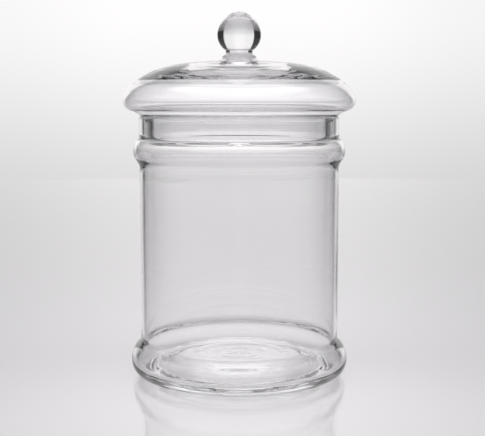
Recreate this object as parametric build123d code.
from build123d import *
import os

# Apothecary jar in clear glass: a straight cylindrical body that swells into a
# hollow base, with a heavy lid whose flange drops into the mouth.
# Millimetres, +Z up, origin at the centre of the foot's resting plane.
# Five solids of revolution about Z:
#   jar_body     hollow base bulge with a pushed-up floor, cylinder, bead, neck, rim
#   foot         gather of glass under the floor, with the resting ring
#   lid_shell    thick dome, hollow overhanging bulb rim and locating flange
#   knob_collar  short solid post that flares onto the dome
#   knob         solid ball
# Fused pieces share one exact joint surface and no volume.
# Every profile point is (radius, height); every direction is (radial, upward).

# ---------------------------------------------------------------- directions
OUT, IN = (1, 0), (-1, 0)
UP, DOWN = (0, 1), (0, -1)

# ---------------------------------------------------------------- dimensions
# foot
FOOT_OUT_R = 77.6        # outer edge, where it meets the base bulge
FOOT_OUT_Z = 2.9
FOOT_REST_R = 68.0       # outer edge of the flat resting ring
FOOT_RING_IN_R = 60.0    # inner edge of the resting ring
FOOT_KICK_Z = 9.5        # height of the hollow underneath, at the axis
JOINT_Z = 13.0           # joint between body and foot, at the axis

# cylinder
BODY_R = 75.0
WALL = 3.5
BODY_IN_R = BODY_R - WALL

# base bulge and floor
BASE_R = 82.4            # greatest outer radius
BASE_R_Z = 13.2          # height of that radius
BASE_TOP_Z = 30.0        # outside runs out into the cylinder
BASE_IN_R = 77.0         # greatest inner radius
BASE_IN_Z = 13.6         # height of that radius
BASE_IN_TOP_Z = 31.0     # inner wall is straight above this
MOAT_R = 69.8            # junction of the bulge's inside and the floor
MOAT_Z = 8.8
MOAT_SLOPE = (-1, 0.20)  # direction of the surface there, heading inwards
FLOOR_EDGE_R = 40.0      # floor is nearly flat inside this radius
FLOOR_EDGE_Z = 16.9
FLOOR_Z = 17.2           # inner floor at the axis

# bead: a hollow swelling of the wall under the neck
BEAD_LOW_Z = 154.5             # outside starts to leave the cylinder
BEAD_IN_LOW_Z = BEAD_LOW_Z - 1.0
BEAD_TURN_Z = 159.2            # still on the cylinder's radius here, then it swells
BEAD_R = 79.6                  # greatest radius
BEAD_MID_Z = 170.4
BEAD_TOP_Z = 180.4             # crease between bead and neck
BEAD_IN_TOP_Z = 184.0          # inner wall of the neck is straight above this
BEAD_WALL = 2.6

# neck and rim
NECK_R = 75.1
NECK_WALL = 3.4
NECK_IN_R = NECK_R - NECK_WALL
SEAT_Z = 196.8           # flat land of the rim that carries the lid
SEAT_IN_R = 72.6
SEAT_OUT_R = 73.7
RIM_DROP_OUT = 2.0       # height of the rim's rounding, outside and inside
RIM_DROP_IN = 1.3

# lid
LID_LAND_IN_R = 71.9     # the lid's land reaches further in than the rim's
FLANGE_R = 70.6          # outer radius of the locating flange
FLANGE_WALL = 5.4
FLANGE_IN_R = FLANGE_R - FLANGE_WALL
FLANGE_LOW_Z = 177.2     # underside of the rounded lower lip
LIP_R = FLANGE_WALL / 2
LIP_Z = FLANGE_LOW_Z + LIP_R
FLANGE_OUT_TOP_Z = 192.6 # outside of the flange is straight up to here
FLANGE_IN_TOP_Z = 194.4  # inside of the flange is straight up to here
BULB_R = 87.3            # greatest radius of the overhanging bulb
BULB_Z = 208.6           # its height
BULB_WALL = 2.0
DOME_TOP_Z = 239.6       # top of the dome, on the axis under the collar
DOME_INNER_Z = 222.3     # flat underside of the thick dome
DOME_INNER_R = 74.2      # edge of that flat underside

# collar and knob
COLLAR_BASE_R = 15.2               # foot of the flare on the dome
COLLAR_BASE_Z = DOME_TOP_Z - 0.55
COLLAR_R = 10.05                   # waist
COLLAR_TOP_Z = 245.6               # joint with the ball
KNOB_R = 16.4                      # ball, greatest radius
KNOB_MID_Z = 256.4
KNOB_TOP_Z = 274.1

# ---------------------------------------------- points shared by several edges
FOOT_EDGE = (FOOT_OUT_R, FOOT_OUT_Z)
JOINT_CENTRE = (0, JOINT_Z)
MOAT = (MOAT_R, MOAT_Z)
RIM_OUT = (NECK_R, SEAT_Z - RIM_DROP_OUT)
RIM_IN = (NECK_IN_R, SEAT_Z - RIM_DROP_IN)
SEAT_OUT = (SEAT_OUT_R, SEAT_Z)
SEAT_IN = (SEAT_IN_R, SEAT_Z)
LID_LAND_IN = (LID_LAND_IN_R, SEAT_Z)
LAND_LEAD = (SEAT_OUT_R + 0.5, SEAT_Z + 0.35)  # bulb's outside, just before the land
BULB_IN_TOP = (75.38, 221.72)                  # bulb's inside, just before the flat
DOME_INNER = (DOME_INNER_R, DOME_INNER_Z)
DOME_TOP = (0, DOME_TOP_Z)
COLLAR_BASE = (COLLAR_BASE_R, COLLAR_BASE_Z)
COLLAR_TOP = (COLLAR_R, COLLAR_TOP_Z)
KNOB_JOINT_CENTRE = (0, COLLAR_TOP_Z)

# directions in which a curve passes through a shared point
DOME_SLOPE = (1, -0.075)      # at COLLAR_BASE
LAND_SLOPE = (-1, -0.55)      # at LAND_LEAD
BULB_IN_SLOPE = (-0.77, 0.63) # at BULB_IN_TOP


# ------------------------------------------------------------------ helpers
def vector(pair):
    radius, height = pair
    return Vector(radius, 0, height)


def line(start, end):
    return Edge.make_line(vector(start), vector(end))


def curve(points, start, end):
    """Smooth curve through points, with the given end directions.

    The parameter is the running chord length and the end directions have unit
    length, so the curve keeps close to its points and never loops.
    """
    places = [vector(point) for point in points]
    run = [0.0]
    for here, there in zip(places, places[1:]):
        run.append(run[-1] + (there - here).length)
    return Edge.make_spline(
        places,
        tangents=[vector(start).normalized(), vector(end).normalized()],
        parameters=run,
        scale=False,
    )


def lathe(edges):
    """Full turn of a closed profile about the jar's axis."""
    return Solid.revolve(Face(Wire(edges)), 360, Axis.Z)


# ------------------------------------------------- shared joint surfaces
def body_foot_joint():
    """Underside of the body, from the axis out to the edge of the foot."""
    return curve(
        [
            JOINT_CENTRE, (22.0, 12.8), (40.0, 12.2), (51.0, 10.4),
            (60.0, 6.9), (67.0, 4.9), FOOT_EDGE,
        ],
        start=OUT,
        end=(1, -0.25),
    )


def dome_collar_joint():
    """Dome surface under the collar, from the axis to the foot of the flare."""
    return curve([DOME_TOP, COLLAR_BASE], start=OUT, end=DOME_SLOPE)


def collar_knob_joint():
    """Flat joint between the post and the ball."""
    return line(KNOB_JOINT_CENTRE, COLLAR_TOP)


# ------------------------------------------------------------- jar body
def body_outside():
    """From the edge of the foot up to the rim's rounding."""
    bulge = curve(
        [
            FOOT_EDGE, (81.3, 7.2), (BASE_R, BASE_R_Z), (81.0, 19.3),
            (78.6, 23.6), (76.2, 26.2), (75.25, 28.0), (BODY_R, BASE_TOP_Z),
        ],
        start=(0.85, 0.55),
        end=UP,
    )
    bead = curve(
        [
            (BODY_R, BEAD_LOW_Z), (BODY_R, BEAD_TURN_Z), (76.7, 162.9), (78.6, 165.9),
            (BEAD_R, BEAD_MID_Z), (79.2, 174.8), (77.6, 178.4), (NECK_R, BEAD_TOP_Z),
        ],
        start=UP,
        end=(-1, 0.30),
    )
    return [
        bulge,
        line((BODY_R, BASE_TOP_Z), (BODY_R, BEAD_LOW_Z)),
        bead,
        line((NECK_R, BEAD_TOP_Z), RIM_OUT),
    ]


def rim():
    """Rounded rim with its flat land, from outside to inside."""
    return [
        curve([RIM_OUT, (74.72, SEAT_Z - 0.62), SEAT_OUT], start=UP, end=IN),
        line(SEAT_OUT, SEAT_IN),
        curve([SEAT_IN, (71.95, SEAT_Z - 0.36), RIM_IN], start=IN, end=DOWN),
    ]


def body_inside():
    """From the rim down to the floor, then in to the axis."""
    bead = curve(
        [
            (BODY_IN_R, BEAD_IN_LOW_Z), (71.7, 159.6), (73.6, 163.6), (75.9, 166.6),
            (BEAD_R - BEAD_WALL, BEAD_MID_Z + 0.1), (76.7, 174.2), (75.4, 177.0),
            (73.4, 179.4), (72.0, 181.8), (NECK_IN_R, BEAD_IN_TOP_Z),
        ],
        start=UP,
        end=UP,
    )
    bulge = curve(
        [
            (BODY_IN_R, BASE_IN_TOP_Z), (71.4, 27.6), (72.2, 24.6), (74.1, 21.4),
            (76.0, 17.6), (BASE_IN_R, BASE_IN_Z), (76.3, 10.2), (73.7, 8.6), MOAT,
        ],
        start=DOWN,
        end=MOAT_SLOPE,
    )
    floor = curve(
        [
            MOAT, (64.0, 10.6), (58.0, 13.2), (51.0, 15.7),
            (FLOOR_EDGE_R, FLOOR_EDGE_Z), (20.0, FLOOR_Z), (0, FLOOR_Z),
        ],
        start=MOAT_SLOPE,
        end=IN,
    )
    return [
        line(RIM_IN, (NECK_IN_R, BEAD_IN_TOP_Z)),
        bead,
        line((BODY_IN_R, BEAD_IN_LOW_Z), (BODY_IN_R, BASE_IN_TOP_Z)),
        bulge,
        floor,
    ]


def jar_body():
    axis_edge = line((0, FLOOR_Z), JOINT_CENTRE)
    return lathe([body_foot_joint(), *body_outside(), *rim(), *body_inside(), axis_edge])


# ----------------------------------------------------------------- foot
def foot():
    outer_edge = curve(
        [FOOT_EDGE, (73.4, 0.9), (FOOT_REST_R, 0)], start=(-0.85, -0.55), end=IN
    )
    # pushed-up hollow underneath, following the floor above
    hollow = curve(
        [
            (FOOT_RING_IN_R, 0), (57.2, 1.6), (53.0, 4.6), (47.0, 7.5),
            (38.0, 9.0), (20.0, FOOT_KICK_Z), (0, FOOT_KICK_Z),
        ],
        start=(-1, 0.20),
        end=IN,
    )
    return lathe([
        body_foot_joint(),
        outer_edge,
        line((FOOT_REST_R, 0), (FOOT_RING_IN_R, 0)),
        hollow,
        line((0, FOOT_KICK_Z), JOINT_CENTRE),
    ])


# ------------------------------------------------------------ lid shell
def lid_outside():
    """From the collar over the dome and round the bulb to the lid's land."""
    return [
        curve(
            [
                COLLAR_BASE, (32.0, 237.55), (51.3, 234.3), (62.0, 231.3),
                (70.0, 227.6), (76.6, 223.3), (82.2, 218.2), (85.7, 213.2),
                (BULB_R, BULB_Z), (86.4, 204.9), (83.6, 201.9), (79.0, 200.0), LAND_LEAD,
            ],
            start=DOME_SLOPE,
            end=LAND_SLOPE,
        ),
        curve([LAND_LEAD, SEAT_OUT], start=LAND_SLOPE, end=(-1, -0.9)),
    ]


def flange():
    """Land that rests on the rim, then down and round the flange's lower lip."""
    return [
        line(SEAT_OUT, LID_LAND_IN),
        curve(
            [LID_LAND_IN, (71.1, 195.6), (FLANGE_R, FLANGE_OUT_TOP_Z)],
            start=(-1, -0.15),
            end=DOWN,
        ),
        line((FLANGE_R, FLANGE_OUT_TOP_Z), (FLANGE_R, LIP_Z)),
        Edge.make_three_point_arc(
            vector((FLANGE_R, LIP_Z)),
            vector((FLANGE_R - LIP_R, FLANGE_LOW_Z)),
            vector((FLANGE_IN_R, LIP_Z)),
        ),
        line((FLANGE_IN_R, LIP_Z), (FLANGE_IN_R, FLANGE_IN_TOP_Z)),
    ]


def lid_inside():
    """Inside of the bulb, following its outside, then the dome's flat underside."""
    return [
        curve(
            [
                (FLANGE_IN_R, FLANGE_IN_TOP_Z), (65.7, 196.6), (67.6, 198.1),
                (70.4, 198.75), (73.2, 199.0), (75.46, 200.28), (78.19, 201.83),
                (80.46, 202.69), (82.55, 203.6), (83.72, 204.56), (84.63, 205.83),
                (85.14, 207.1), (BULB_R - BULB_WALL, 208.53), (84.9, 210.28),
                (83.95, 212.22), (82.62, 214.39), (80.7, 216.88), (78.09, 219.5),
                BULB_IN_TOP,
            ],
            start=UP,
            end=BULB_IN_SLOPE,
        ),
        curve([BULB_IN_TOP, DOME_INNER], start=BULB_IN_SLOPE, end=IN),
        line(DOME_INNER, (0, DOME_INNER_Z)),
    ]


def lid_shell():
    axis_edge = line((0, DOME_INNER_Z), DOME_TOP)
    return lathe([dome_collar_joint(), *lid_outside(), *flange(), *lid_inside(), axis_edge])


# ------------------------------------------------------ collar and knob
def knob_collar():
    flare = curve(
        [COLLAR_BASE, (12.2, 240.4), (10.4, 242.4), COLLAR_TOP], start=(-1, 0.25), end=UP
    )
    axis_edge = line(KNOB_JOINT_CENTRE, DOME_TOP)
    return lathe([dome_collar_joint(), flare, collar_knob_joint(), axis_edge])


def knob():
    ball = curve(
        [
            COLLAR_TOP, (12.9, 247.9), (15.2, 251.4), (KNOB_R, KNOB_MID_Z),
            (15.6, 261.6), (12.9, 267.1), (7.4, 272.2), (0, KNOB_TOP_Z),
        ],
        start=(1, 0.42),
        end=IN,
    )
    return lathe([collar_knob_joint(), ball, line((0, KNOB_TOP_Z), KNOB_JOINT_CENTRE)])


# --------------------------------------------------------------- output
os.makedirs("parts", exist_ok=True)
for build in (jar_body, foot, lid_shell, knob_collar, knob):
    name = build.__name__
    solid = build()
    solid.label = name
    export_step(solid, "parts/" + name + ".step")
